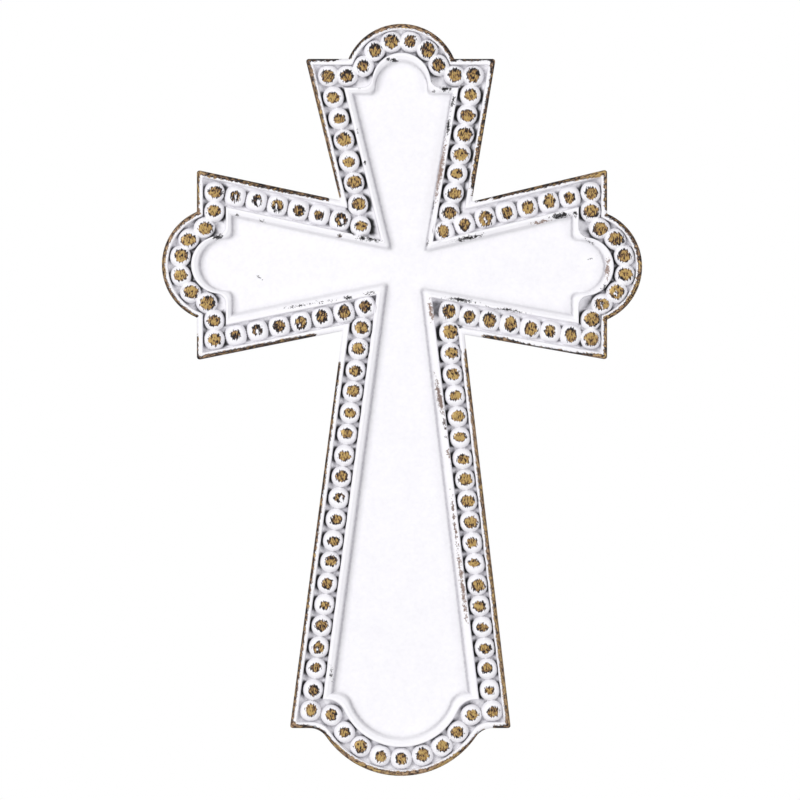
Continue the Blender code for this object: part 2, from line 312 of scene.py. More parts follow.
def bead_runs():
    """The runs of beads, each as its kind, its arm and its centres, ends included: up the first
    side of each arm from the armpit, round its end, and back down its other side."""
    pitch = BEAD_DIAMETER + BEAD_GAP
    pits = {name: armpit(name, BEAD_INSET) + Vector(ARMPIT_BEAD_SHIFTS[name]) for name in ARM_ORDER}
    runs = []
    for number, name in enumerate(ARM_ORDER):
        arm = ARMS[name]
        end = end_of_arm(arm, BEAD_INSET)
        runs.append(("end", name, spaced_places(end, BEAD_DIAMETER + END_BEAD_GAP)))
        following = ARM_ORDER[(number + 1) % len(ARM_ORDER)]
        sides = ((-1, "first", pits[name], end[0]), (1, "last", pits[following], end[-1]))
        for side, kind, pit, corner in sides:
            point, direction = side_line(arm, side, BEAD_INSET)
            start = point + direction * (pit - point).dot(direction)
            places = [pit]
            for place in spaced_places([start, corner], pitch)[1:]:
                draw = max(0.0, 1 - (place - start).length / ARMPIT_DRAW) ** 2
                places.append(place + (pit - start) * draw)
            runs.append((kind, name, places))
    return runs


# Rings of the relief. Every ring has the same stretches with the same number of points, so that
# rings are joined point by point.


def rounded_corner(before, corner, after, radius, steps):
    """Points that round a corner off, from one tangent point to the other."""
    to_before, to_after = (before - corner).normalized(), (after - corner).normalized()
    half = math.acos(max(-1.0, min(1.0, to_before.dot(to_after)))) / 2
    reach = min(radius / math.tan(half), LONGEST_REACH * (before - corner).length)
    radius = reach * math.tan(half)
    centre = corner + (to_before + to_after).normalized() * (radius / math.sin(half))
    first, last = corner + to_before * reach - centre, corner + to_after * reach - centre
    turn = first.angle_signed(last, 0.0)
    points = []
    for step in range(steps + 1):
        angle = -turn * step / steps
        cos, sin = math.cos(angle), math.sin(angle)
        points.append(centre + Vector((first.x * cos - first.y * sin, first.x * sin + first.y * cos)))
    return points


def between(start, end, steps):
    """Points between two others, both left out."""
    return [start.lerp(end, step / steps) for step in range(1, steps)]


def tip_radius(inset):
    share = ease((inset - MOULDING_START) / (FIELD_START - MOULDING_START))
    return lerp(TIP_RADIUS, FIELD_TIP_RADIUS, share)


def corner_radius(inset):
    return max(SMALLEST_CORNER, OUTLINE_CORNER - CORNER_LOSS * inset)


# Where a ring point lies along the outline: its arm, its stretch and its share of that stretch
Spot = namedtuple("Spot", "arm stretch share")


def ring(inset):
    """A ring's points, and the spot of each. An arm's stretches are pit, first (the side that
    comes first anticlockwise), first_shoulder, lobe, last_shoulder and last."""
    points, spots = [], []

    def add(name, stretch, new, start=0.0, end=1.0):
        for number, point in enumerate(new):
            points.append(point)
            share = lerp(start, end, (number + 0.5) / len(new))
            spots.append(Spot(name, stretch, share))

    for number, name in enumerate(ARM_ORDER):
        next_name = ARM_ORDER[(number + 1) % len(ARM_ORDER)]
        last_corner = end_of_arm(ARMS[ARM_ORDER[number - 1]], inset)[-1]
        next_corner = end_of_arm(ARMS[next_name], inset)[0]
        pit, next_pit = armpit(name, inset), armpit(next_name, inset)
        end = end_of_arm(ARMS[name], inset, HOLLOW_STEPS, LOBE_STEPS)
        tip = rounded_corner(last_corner, pit, end[0], tip_radius(inset), TIP_STEPS)
        next_tip = rounded_corner(end[-1], next_pit, next_corner, tip_radius(inset), TIP_STEPS)
        first = rounded_corner(pit, end[0], end[1], corner_radius(inset), CORNER_STEPS)
        last = rounded_corner(end[-2], end[-1], next_pit, corner_radius(inset), CORNER_STEPS)
        steps = round((ARMS[name].shoulder - ROOT_HALF_WIDTH) / SIDE_STEP)
        add(name, "pit", tip)
        add(name, "first", between(tip[-1], first[0], steps))
        add(name, "first_shoulder", first + between(first[-1], end[1], SHOULDER_STEPS))
        add(name, "lobe", end[1:-1])
        add(name, "last_shoulder", between(end[-2], last[0], SHOULDER_STEPS) + last)
        add(name, "last", between(last[-1], next_tip[0], steps), 1.0, 0.0)
    return points, spots


# Section of the border, as insets and heights
CHANNEL_TOP = RIM_WIDTH - CHANNEL_EASE
CREST_TOP = MOULDING_START + CHANNEL_EASE
SECTION = [
    (0.0, RIM_HEIGHT - EDGE_BEVEL),
    (0.30 * EDGE_BEVEL, RIM_HEIGHT - 0.45 * EDGE_BEVEL),
    (EDGE_BEVEL, RIM_HEIGHT),
    (CHANNEL_TOP, RIM_HEIGHT),
    (CHANNEL_TOP + WALL_DRAFT, CHANNEL_HEIGHT),
    (CREST_TOP - WALL_DRAFT, CHANNEL_HEIGHT),
    (CREST_TOP, CREST_HEIGHT),
    (MOULDING_START + CREST_WIDTH - DRAFT / 2, CREST_HEIGHT),
    (MOULDING_START + CREST_WIDTH + 2 * DRAFT, CREST_HEIGHT - 0.7 * STEP_DROP),
    (MOULDING_START + CREST_WIDTH + DRAFT + STEP_WIDTH, CREST_HEIGHT - STEP_DROP),
    (FIELD_START, FIELD_HEIGHT + 0.0004),
    (FIELD_START + 0.0008, FIELD_HEIGHT + 0.00015),
    (FIELD_START + 0.0024, FIELD_HEIGHT),
]


def base_height(inset):
    """Height of the relief without beads, its section rounded by a short blur."""
    shares = (-1.0, -0.67, -0.33, 0.0, 0.33, 0.67, 1.0)
    weights = [1.1 - abs(share) for share in shares]
    total = sum(w * at_stops(SECTION, inset + s * SECTION_BLUR)[0] for s, w in zip(shares, weights))
    return total / sum(weights)


RIM_INSETS = (0.00008, 0.00022, 0.0004, 0.00062, 0.0009, 0.0012, 0.00155, 0.0020, 0.00232,
              0.00246, 0.00256, 0.00266, 0.00278, 0.0029)
CREST_OFFSETS = (-0.00024, -0.00012, 0.0, 0.0001, 0.0002, 0.00036, 0.0006, 0.0010, 0.0014)
STEP_OFFSETS = (-0.0002, 0.0, 0.0002, 0.0004, 0.0006, 0.0010, 0.0013)
FIELD_OFFSETS = (-0.0010, -0.0007, -0.0004, -0.0001, 0.0002, 0.0006, 0.0011, 0.0017, 0.0026)


# Beads

# A bead's centre, the direction of its run, the run's kind, its half width, its rise, and of its
# worn patch the middle, the half width and half height, the turn of the brush strokes, how dark
# it is, a number of its own and the radius of the paint left in its middle
Bead = namedtuple("Bead", "centre along kind size rise patch_centre patch_half turn dark seed"
                          " hollow")


def seeded(*values):
    """A repeatable number from 0 to 1 for some values."""
    return (noise.cell(Vector(values) * 71.3 + Vector((0.37, 0.71, 0.13))) + 1) % 1.0


def make_beads():
    """All beads with their shapes and worn patches, and the bridges of paint between them, each a
    middle and a direction. A bead between two runs belongs to the one that is named first."""
    beads, bridges = [], []
    for kind, name, places in bead_runs():
        for start, end in zip(places, places[1:]):
            bridges.append(((start + end) / 2, (end - start).normalized()))
        for number, place in enumerate(places):
            if any((place - bead.centre).length < BEAD_DIAMETER / 4 for bead in beads):
                continue
            ahead = places[min(number + 1, len(places) - 1)]
            behind = places[max(number - 1, 0)]
            along = (ahead - behind).normalized()
            share = number / (len(places) - 1)
            beads.append(new_bead(place, along, kind, name, share, len(beads)))
    return beads, bridges


# Painted shade in the channel, standing for the shade its crevices get: on its floor along upright
# sides, ends and level sides, between the beads of level sides and of ends, and along the walls of
# upright sides and of level and upright ends, less by the rim. And painted shade at the foot of the
# moulding, on so wide a strip, and on the sunk field.
FLOOR_PAINTED_SHADE = 0.36
END_PAINTED_SHADE = 0.22
LEVEL_PAINTED_SHADE = 0.06
BEAD_SLIT_PAINTED_SHADE = 0.60
END_SLIT_PAINTED_SHADE = 0.16
WALL_PAINTED_SHADE = 0.80
END_WALL_SHARES = (0.33, 0.95)
RIM_SIDE_SHARE = 0.72
MOULDING_PAINTED_SHADE = 0.44
LEVEL_MOULDING_PAINTED_SHADE = 0.18
MOULDING_SHADE_STRIP = 0.0009
FIELD_PAINTED_SHADE = 0.05

# Where the painted shade round a bead sets in or fades, each a start and a run: so far aside of the
# bead line and along it, and at a bead's foot and away from it, in shares of the bead
WALL_ASIDE = (0.0026, 0.0014)
WALL_ALONG = (0.0022, 0.0016)
SLIT_ALONG = (0.0028, 0.0010)
SLIT_ASIDE = (0.0028, 0.0016)
FOOT_SHARES = (0.95, 0.035)
WALL_SHARES = (1.05, 0.40)
FLOOR_SHARES = (1.20, 0.35)

# What the painted shade by the walls loses between beads and away from them
LOSS_ALONG = 0.65
LOSS_AWAY = 0.85

# Worn patches on the beads of each run, at its start and at its end, or once where they stay alike:
# half their width and half their height (mm), and how dark. A side runs from the armpit outwards.
WORN_PATCHES = {
    ("right", "first"): ((2.7, 2.9, 0.5), (2.6, 3.0, 0.5)),
    ("right", "end"): ((3.1, 2.9, 0.4),),
    ("right", "last"): ((2.6, 3.0, 0.5),),
    ("top", "first"): ((3.0, 2.5, 0.4),),
    ("top", "end"): ((2.8, 2.9, 0.75),),
    ("top", "last"): ((3.0, 2.5, 0.45), (3.0, 2.5, 0.4)),
    ("left", "first"): ((2.5, 2.6, 0.8), (2.3, 2.6, 0.8)),
    ("left", "end"): ((3.0, 2.7, 0.4),),
    ("left", "last"): ((2.4, 2.5, 0.8), (2.4, 2.6, 0.8)),
    ("stem", "first"): ((2.9, 2.5, 0.35), (2.3, 2.2, 0.75)),
    ("stem", "end"): ((2.6, 2.6, 0.35),),
    ("stem", "last"): ((3.0, 2.6, 0.12), (2.6, 2.1, 0.5)),
}


# How often a worn patch has paint left in its middle, on the left arm's sides and elsewhere
LEFT_HOLLOW_CHANCE = 0.45
HOLLOW_CHANCE = 0.07

# From so far up, over so long a run, the patches are darkest along their upper side
UPPER_BEADS = (0.02, 0.04)

# What chance may change on a bead: its size and rise, its patch's size and height, the patch's
# place across and up, the turn of its strokes (degrees), how dark it is, and its hollow's radius
SIZE_SPAN = (1.045, 1.075)
RISE_SPAN = (0.94, 1.0)
PATCH_SPAN = (0.86, 1.08)
PATCH_HEIGHT_SPAN = (0.90, 1.10)
ACROSS_SPAN = (-0.0003, 0.0005)
UP_SPAN = (-0.0004, 0.0004)
TURN_SPAN = (-22, 22)
DARK_SPAN = (-0.22, 0.22)
HOLLOW_SPAN = (0.0004, 0.0009)


def new_bead(place, along, kind, name, share, seed):
    chance = [seeded(seed, number, 5) for number in range(10)]
    size = BEAD_DIAMETER / 2 * lerp(*SIZE_SPAN, chance[0])
    rise = BEAD_HEIGHT * lerp(*RISE_SPAN, chance[1])
    patches = WORN_PATCHES[(name, kind)]
    half_width, half_height, dark = Vector(patches[0]).lerp(Vector(patches[-1]), share)
    scale = lerp(*PATCH_SPAN, chance[2]) / 1000
    half = (half_width * scale, half_height * scale * lerp(*PATCH_HEIGHT_SPAN, chance[3]))
    offset = Vector((lerp(*ACROSS_SPAN, chance[4]), lerp(*UP_SPAN, chance[5])))
    turn = math.radians(lerp(*TURN_SPAN, chance[6]))
    dark += lerp(*DARK_SPAN, chance[8])
    hollow = 0.0
    if chance[9] < (LEFT_HOLLOW_CHANCE if name == "left" and kind != "end" else HOLLOW_CHANCE):
        hollow = lerp(*HOLLOW_SPAN, chance[7])
    return Bead(place, along, kind, size, rise, place + offset, half, turn, dark, chance[7], hollow)


# From this share of it on, a direction counts as level or upright
MAINLY = 0.8

# How square beads are, those of level sides and others, and how their domes round off
LEVEL_BEAD_POWER = 2.8
BEAD_POWER = 2.15
DOME_POWERS = (5, 0.52)


def bead_power(bead):
    is_level = bead.kind != "end" and abs(bead.along.x) > MAINLY
    return LEVEL_BEAD_POWER if is_level else BEAD_POWER


def bead_share(bead, place):
    """0 in the middle of a bead, 1 at its foot."""
    step = place - bead.centre
    along, aside = step.dot(bead.along), step.cross(bead.along)
    power = bead_power(bead)
    return (abs(along) ** power + abs(aside) ** power) ** (1 / power) / bead.size


def rounded_off(rise, share, edge, crown):
    """Height of a dome at a share of the way from its top to its foot."""
    return rise * (1 - share ** edge) ** crown


def dome(bead, place):
    """Height of a bead over the channel's floor at a place."""
    share = bead_share(bead, place)
    if share >= 1:
        return -(share - 1) * bead.size
    return rounded_off(bead.rise, share, *DOME_POWERS)


def bead_patch(bead, place):
    """How far inside a bead's worn patch a place lies (mm), and its brush coordinates (mm) with
    how far it is towards the patch's darker side."""
    patch = place - bead.patch_centre
    across, up = bead.patch_half
    share = math.hypot(patch.x / across, patch.y / up)
    worn = (1 - share) * (across + up) / 2 * 1000
    if bead.hollow:
        hole = patch - Vector((lerp(-0.0008, 0.0010, bead.seed), -0.0006))
        worn = min(worn, (math.hypot(hole.x, hole.y * 0.6) - bead.hollow) * 1000)
    lean = patch.x * math.cos(40 * bead.seed) + patch.y * math.sin(40 * bead.seed)
    upper = eased(bead.centre.y, *UPPER_BEADS)
    lean = lerp(lean, 0.4 * lean + 1.1 * patch.y, upper)
    cos, sin = math.cos(bead.turn), math.sin(bead.turn)
    grain = Vector((patch.x * cos + patch.y * sin, patch.y * cos - patch.x * sin, lean)) * 1000
    return worn, grain + Vector((bead.seed * 400, bead.seed * 170, 0.0))


def bead_painted_shade(bead, place, sunk):
    """How much painted shade darkens the crevices on and around a bead, where the relief is sunk by a
    share.
    """
    step = place - bead.centre
    along, aside = abs(step.dot(bead.along)), abs(step.cross(bead.along))
    # Painted shade of the upright slits that the side lights miss: by the walls of upright runs and
    # between the beads of level runs
    steepness = abs(bead.along.y) ** 1.5
    if bead.kind == "end":
        floor, by_wall, slit = END_PAINTED_SHADE, lerp(*END_WALL_SHARES, steepness), END_SLIT_PAINTED_SHADE
    else:
        floor = lerp(LEVEL_PAINTED_SHADE, FLOOR_PAINTED_SHADE, steepness)
        by_wall, slit = steepness, lerp(BEAD_SLIT_PAINTED_SHADE, 0.0, steepness)
    by_wall *= WALL_PAINTED_SHADE * eased(aside, *WALL_ASIDE)
    if (step.cross(bead.along) > 0) != (bead.kind == "last"):
        by_wall *= RIM_SIDE_SHARE
    slit *= eased(along, *SLIT_ALONG) * (1 - eased(aside, *SLIT_ASIDE))
    share = bead_share(bead, place)
    if share < BEAD_SHARES[-1]:
        return eased(share, *FOOT_SHARES) * (floor + by_wall + slit)
    by_wall *= 1 - LOSS_ALONG * eased(along, *WALL_ALONG)
    by_wall *= 1 - LOSS_AWAY * eased(share, *WALL_SHARES)
    floor = lerp(floor, LEVEL_PAINTED_SHADE, eased(share, *FLOOR_SHARES))
    return sunk * (floor + by_wall + slit)


def smooth_max(first, second, blend):
    """The larger of two heights, eased where they meet."""
    gap = max(blend - abs(first - second), 0.0) / blend
    return max(first, second) + gap * gap * blend / 4


# Wear along the outer edge: for each arm and stretch, how wide the paint is rubbed off (mm) and how
# dark it is there (0 gold to 1 black), at shares of the stretch. A side runs from the armpit to
# the corner, the rest anticlockwise.
EDGE_WEAR = {
    "right": {
        "first": [(0, 0, 0.8), (0.12, 0, 0.8), (0.15, 1.2, 0.8), (0.3, 1.4, 0.6), (0.36, 1.2, 0.8),
            (0.42, 0.6, 0.95), (0.5, 0.4, 1), (0.8, 0.5, 1), (0.9, 1.0, 0.8), (0.96, 1.4, 0.5),
            (1, 1.8, 0.4)],
        "first_shoulder": [(0, 1.9, 0.45), (0.2, 1.3, 0.5), (1, 1.3, 0.5)],
        "lobe": [(0, 1.4, 0.5), (0.3, 1.7, 0.45), (0.6, 1.6, 0.5), (0.8, 1.3, 0.7),
            (0.96, 1.0, 0.9), (0.98, 0, 1), (1, 0, 1)],
        "last_shoulder": [(0, 0, 0.7), (0.06, 1.0, 0.7), (0.5, 1.3, 0.55), (0.85, 1.6, 0.3),
            (1, 2.4, 0.15)],
        "last": [(0, 0, 1), (0.05, 0.6, 1), (0.1, 0.7, 1), (0.14, 0.2, 1), (0.18, 1.2, 0.95),
            (0.3, 1.1, 0.9), (0.5, 1.3, 0.85), (0.75, 1.3, 0.75), (0.88, 1.6, 0.4), (1, 2.3, 0.15)],
    },
    "top": {
        "first": [(0, 0, 0.9), (0.08, 0.2, 0.9), (0.11, 1.5, 0.7), (0.3, 1.7, 0.6), (0.5, 1.5, 0.5),
            (0.7, 1.3, 0.6), (0.85, 1.0, 0.8), (0.95, 1.1, 0.9), (1, 1.8, 0.7)],
        "first_shoulder": [(0, 2.0, 0.6), (0.15, 1.6, 0.8), (0.3, 1.2, 0.8), (0.4, 0.9, 0.9),
            (0.5, 0.1, 0.9), (0.6, 0.9, 0.9), (0.9, 0.9, 0.9), (1, 0, 1)],
        "lobe": [(0, 1.2, 0.95), (0.12, 1.4, 0.85), (0.25, 1.4, 0.5), (0.45, 1.6, 0.35),
            (0.7, 1.4, 0.5), (0.8, 0.9, 0.95), (0.89, 0.7, 1), (0.93, 0, 1), (1, 0, 1)],
        "last_shoulder": [(0, 0, 1), (0.1, 0, 1), (0.2, 0.8, 1), (0.8, 1.0, 0.95), (1, 1.5, 0.8)],
        "last": [(0, 0, 0.5), (0.06, 0.8, 0.6), (0.15, 0.9, 0.7), (0.4, 1.1, 0.6), (0.7, 1.4, 0.5),
            (1, 1.6, 0.6)],
    },
    "left": {
        "first": [(0, 0, 0.9), (0.06, 0, 0.9), (0.09, 1.2, 0.85), (0.3, 1.5, 0.8), (0.6, 1.6, 0.8),
            (0.85, 1.5, 0.75), (1, 1.9, 0.45)],
        "first_shoulder": [(0, 2.0, 0.4), (0.15, 1.5, 0.4), (0.5, 1.0, 0.45), (1, 0.8, 0.45)],
        "lobe": [(0, 1.5, 0.55), (0.2, 1.4, 0.5), (0.5, 1.3, 0.5), (0.8, 1.1, 0.7),
            (0.93, 0.9, 0.85), (0.96, 0, 0.9), (1, 0, 0.9)],
        "last_shoulder": [(0, 0, 0.6), (0.2, 0, 0.6), (0.3, 0.5, 0.5), (0.6, 0.6, 0.6),
            (0.8, 0.8, 0.9), (1, 1.2, 0.9)],
        "last": [(0, 0, 0.9), (0.17, 0, 0.9), (0.2, 0.9, 0.9), (0.4, 1.2, 0.8), (0.8, 1.3, 0.8),
            (1, 1.4, 0.75)],
    },
    "stem": {
        "first": [(0, 0, 0.8), (0.07, 0, 0.8), (0.09, 0.8, 0.75), (0.5, 0.9, 0.7), (0.9, 1.0, 0.65),
            (1, 1.0, 0.5)],
        "first_shoulder": [(0, 2.0, 0.35), (0.3, 1.7, 0.35), (0.7, 1.4, 0.7), (1, 1.1, 0.95)],
        "lobe": [(0, 0.9, 1), (0.08, 0.7, 1), (0.12, 1.1, 0.5), (0.2, 1.5, 0.3), (0.3, 1.8, 0.3),
            (0.55, 1.8, 0.4), (0.7, 1.7, 0.25), (0.8, 1.3, 0.35), (0.88, 0.8, 0.6),
            (0.93, 0.4, 0.8), (0.96, 0, 0.5), (1, 0, 0.9)],
        "last_shoulder": [(0, 0.8, 0.95), (0.5, 1.2, 0.9), (0.8, 1.5, 0.5), (1, 2.2, 0.3)],
        "last": [(0, 0, 0.6), (0.03, 0, 0.6), (0.05, 0.9, 0.6), (0.1, 1.2, 0.5), (0.4, 1.4, 0.5),
            (0.7, 1.5, 0.45), (0.9, 1.5, 0.4), (1, 1.7, 0.3)],
    },
}


# Wear over what the table says, and the most of it down the outer wall (mm)
EXTRA_WEAR = 0.3
WALL_WEAR = 1.4


def edge_wear(spot):
    """How wide the paint is rubbed off at a spot, and how dark it is there."""
    if spot.stretch == "pit":
        return 0.0, 0.8
    return at_stops(EDGE_WEAR[spot.arm][spot.stretch], spot.share)


# Places rubbed through on the moulding and flecks on the field. Each is (x, y) in pixels of the
# 800 pixel view, its half length and half width in pixels, its turn in degrees, and how dark.
VIEW_MIDDLE_X = 402.0
VIEW_MIDDLE_Y = 265.6
VIEW_PIXEL = 0.0004226
SCUFFS = [
    (393, 60, 6, 2.2, 15, 0.9), (446, 89, 6, 2.6, 0, 0.9), (434, 91, 1.5, 1.5, 0, 1),
    (360, 89, 1.2, 1.2, 0, 1), (432, 80.5, 1, 1.8, 0, 0.9), (453, 102, 7, 2, -75, 0.8),
    (448, 127, 9, 2, -80, 0.8), (440, 172, 30, 2.4, -80, 0.35), (433, 205, 7, 1.4, -78, 1),
    (367, 239, 11, 2.4, 6, 0.7), (340, 236, 3, 2.4, 0, 0.6), (468, 238, 13, 2, -12, 1),
    (427, 243, 3.5, 1.2, -60, 1), (237.5, 215, 2, 1.2, 10, 1), (262.5, 221.7, 2.4, 1.2, 15, 1),
    (218, 237, 5, 2.6, -10, 0.9), (307, 304.5, 16, 1, -9, 0.8), (348, 297.5, 3.6, 2, 0, 0.9),
    (370, 293.5, 4.5, 1.4, -4, 0.9), (541, 222, 9, 1.6, -10, 0.4), (560, 216, 9, 3, -10, 0.8),
    (576, 214, 2, 3, 0, 0.9), (588.5, 241, 4.5, 1.2, 35, 1), (607.5, 269, 10, 2, 94, 0.4),
    (604, 287, 3.5, 1.6, -60, 0.9), (461, 300, 12, 1.6, 8, 1), (431, 312, 10, 2.2, 82, 0.35),
    (508, 310, 13, 1, 9, 0.7), (439.5, 397.5, 20, 2.5, 79, 0.5),
    (444.5, 425, 9, 1.3, 81, 0.6), (448, 452, 7, 1.4, 80, 0.45), (454.5, 522, 24, 1.3, 84, 0.5),
    (462.5, 588, 38, 2.2, 83, 0.45),
    (331.7, 674, 5, 1.4, 90, 0.9), (357.5, 131.7, 1, 2.4, 0, 0.7), (365, 163, 1, 2.2, 0, 0.7),
]
FLECKS = [
    (259.7, 277.5, 1.7, 1.1, 25, 1), (262, 279.5, 0.8, 0.6, 0, 1), (583, 262.5, 2, 0.6, -25, 1),
    (587, 260, 1.6, 0.6, -20, 0.9), (592, 258, 1.5, 0.6, -20, 0.9), (255.5, 305, 0.9, 0.5, 0, 0.6),
    (437, 660, 0.5, 0.8, 0, 0.5), (346, 641, 1, 0.5, 30, 0.5),
]


# How far from a mark places are looked at, and how deep those outside all marks lie (mm)
MARK_REACH = 0.016
FAR_OUTSIDE = -9.0


def on_cross(x, y):
    """The point (X, Z) that a pixel of the view shows."""
    return Vector(((x - VIEW_MIDDLE_X) * VIEW_PIXEL, (VIEW_MIDDLE_Y - y) * VIEW_PIXEL))


def mark_at(place, marks):
    """How far inside the nearest mark a place lies, in mm, and how dark that mark is."""
    best, tone = FAR_OUTSIDE, 0.0
    for x, y, half_length, half_width, turn, dark in marks:
        step = place - on_cross(x, y)
        if max(abs(step.x), abs(step.y)) > MARK_REACH:
            continue
        angle = math.radians(-turn)
        along = step.x * math.cos(angle) + step.y * math.sin(angle)
        aside = step.y * math.cos(angle) - step.x * math.sin(angle)
        pixels = math.hypot(along / half_length, aside / half_width) / VIEW_PIXEL
        depth = (1 - pixels) * half_width * VIEW_PIXEL * 1000
        if depth > best:
            best, tone = depth, dark
    return best, tone


# The casting's mesh

# Bridges of paint between beads: their rise on upright and on other runs, half their size, and how
# they round off
UPRIGHT_BRIDGE_RISE = 0.0017
BRIDGE_RISE = 0.0009
BRIDGE_HALF_LENGTH = 0.0012
BRIDGE_HALF_WIDTH = 0.0015
BRIDGE_POWERS = (2, 0.8)

# How far beads, a bead's neighbours and bridges are looked for around a place
BEAD_REACH = 0.0064
NEIGHBOUR_REACH = 0.0110
BRIDGE_REACH = 0.004

# Rings between these insets may carry beads, those between the next have the full unevenness, and
# the outer edge is worn no further in than the last
BEADED_INSETS = (RIM_WIDTH - 0.0007, MOULDING_START + 0.0016)
UNEVEN_INSETS = (0.0005, FIELD_START)
LAST_WORN_INSET = 0.0045

# How deep a place lies in the edge's wear, or in a patch, from where it takes their shade (mm)
EDGE_SHADE_START = -2
PATCH_SHADE_START = -0.9

# What the paint is like at a point besides the beads: the depth of wear at the outer edge, how
# dark that is, the strokes along it and the painted shade of its crevices (depths in mm)
Coat = namedtuple("Coat", "edge tone stroke grime",
                  defaults=(FAR_OUTSIDE, 0.5, (0.0, 0.0, 0.0), 0.0))
PAINT_LAYERS = ("worn", "edge", "scuff", "tone", "cavity_shade", "grain", "stroke")


def tree_of(places):
    tree = KDTree(len(places))
    for number, place in enumerate(places):
        tree.insert((*place, 0), number)
    tree.balance()
    return tree


class Relief:
    """Points of the casting, each with its place (X, Z), its height over the back, and what the
    paint is like there, its painted shade included."""

    def __init__(self, beads, bridges):
        self.places, self.heights, self.faces = [], [], []
        self.paint = {layer: [] for layer in PAINT_LAYERS}
        self.beads, self.bridges = beads, bridges
        self.tree = tree_of([bead.centre for bead in beads])
        self.bridge_tree = tree_of([middle for middle, _ in bridges])

    def near_beads(self, place, reach=BEAD_REACH):
        return [self.beads[number] for _, number, _ in self.tree.find_range((*place, 0), reach)]

    def bead_height(self, place, base):
        """Height of beads and of the paint between them, on a base of its own height."""
        height = base
        for _, number, _ in self.bridge_tree.find_range((*place, 0), BRIDGE_REACH):
            middle, along = self.bridges[number]
            step = place - middle
            rise = UPRIGHT_BRIDGE_RISE if abs(along.y) > MAINLY else BRIDGE_RISE
            share = math.hypot(step.dot(along) / BRIDGE_HALF_LENGTH,
                               step.cross(along) / BRIDGE_HALF_WIDTH)
            if share < 1:
                top = CHANNEL_HEIGHT + rounded_off(rise, share, *BRIDGE_POWERS)
                height = smooth_max(height, top, BRIDGE_BLEND)
        for bead in self.near_beads(place):
            lift = dome(bead, place)
            if lift > -BEAD_BLEND:
                height = smooth_max(height, CHANNEL_HEIGHT + lift, BEAD_BLEND)
        return height

    def add(self, place, height, coat=Coat(), in_relief=True, swell=1.0):
        """Adds a point and returns its number."""
        spot = Vector((place.x, place.y, height))
        rough = noise.fractal(spot * SWELL_SCALE, 1.0, 2.0, 2) * PAINT_SWELL
        rough += noise.noise(spot * FINE_SWELL_SCALE) * FINE_SWELL
        height += rough * swell
        worn, cavity_shade, dark = FAR_OUTSIDE, coat.grime, 0.0
        grain = Vector((place.x, place.y, 0.0)) * 1000
        if in_relief:
            sunk = min(max((RIM_HEIGHT - height) / CHANNEL_DEPTH, 0.0), 1.0)
            bead = self.beads[self.tree.find((*place, 0))[1]]
            # Painted shade, deeper the further a place is sunk under the rim
            cavity_shade = LEVEL_PAINTED_SHADE * sunk
            if (place - bead.centre).length <= BEAD_DIAMETER:
                worn, grain = bead_patch(bead, place)
                cavity_shade, dark = bead_painted_shade(bead, place, sunk), bead.dark
        on_field = not in_relief and height < FIELD_HEIGHT + 0.001
        scuff, tone = mark_at(place, FLECKS if on_field else SCUFFS)
        if coat.edge > EDGE_SHADE_START:
            tone = coat.tone
        elif worn > PATCH_SHADE_START:
            tone = dark
        self.places.append(place)
        self.heights.append(min(max(height, 0.0), CREST_HEIGHT - 0.00001))
        values = (worn, coat.edge, scuff, tone, cavity_shade, grain, coat.stroke)
        for layer, value in zip(PAINT_LAYERS, values):
            self.paint[layer].append(value)
        return len(self.places) - 1

    def add_ring(self, inset, height, wrap=None):
        """Adds a ring of the relief, beads included, or one of the outer wall, so far down it, and
        returns its point numbers."""
        points, spots = ring(inset)
        numbers = []
        run = 0.0
        in_relief = wrap is None and BEADED_INSETS[0] < inset < BEADED_INSETS[1]
        is_uneven = wrap is None and UNEVEN_INSETS[0] < inset < UNEVEN_INSETS[1]
        swell = 1.0 if is_uneven else CALM_SHARE
        from_foot = (inset - FIELD_START + 0.0004) / MOULDING_SHADE_STRIP
        for number, (point, spot) in enumerate(zip(points, spots)):
            step = point - points[number - 1]
            run += step.length * 1000
            width, tone = edge_wear(spot)
            if wrap is None:
                down = -inset
                edge = width + EXTRA_WEAR - inset * 1000 if inset < LAST_WORN_INSET else FAR_OUTSIDE
            else:
                down = wrap
                edge = min(width, WALL_WEAR) - wrap * 1000
            if width < 0.05:
                edge = min(edge, -0.6)
            steepness = abs(step.y) / max(step.length, 1e-9)
            # Painted shade at the foot of the moulding, more along upright runs, and a little over
            # the sunk field
            grime = lerp(LEVEL_MOULDING_PAINTED_SHADE, MOULDING_PAINTED_SHADE, steepness) * math.exp(-from_foot ** 2)
            grime += FIELD_PAINTED_SHADE * ease(from_foot)
            top = max(height, self.bead_height(point, height)) if in_relief else height
            coat = Coat(edge, tone, (-down * 1000, run, 0.0), grime)
            numbers.append(self.add(point, top, coat, in_relief, swell))
        return numbers

    def join(self, back, front):
        for number in range(len(back)):
            after = (number + 1) % len(back)
            self.faces.append((back[number], back[after], front[after], front[number]))

    def fill(self, loops, numbers, keep):
        """Triangles between loops of points and over loose points. keep says which to keep by
        their middles."""
        everything = [number for loop in loops for number in loop] + numbers
        edges, start = [], 0
        for loop in loops:
            size = len(loop)
            edges += [(start + step, start + (step + 1) % size) for step in range(size)]
            start += size
        flat = [self.places[number] * 1000 for number in everything]
        made, _, triangles, origins, _, _ = geometry.delaunay_2d_cdt(flat, edges, [], 1, 1e-5)
        for triangle in triangles:
            if any(not origins[corner] for corner in triangle):
                continue
            middle = sum((made[corner] for corner in triangle), Vector((0.0, 0.0))) / 3000
            if keep(middle):
                self.faces.append(tuple(everything[origins[corner][0]] for corner in triangle))


ROW_HEIGHT = 0.002


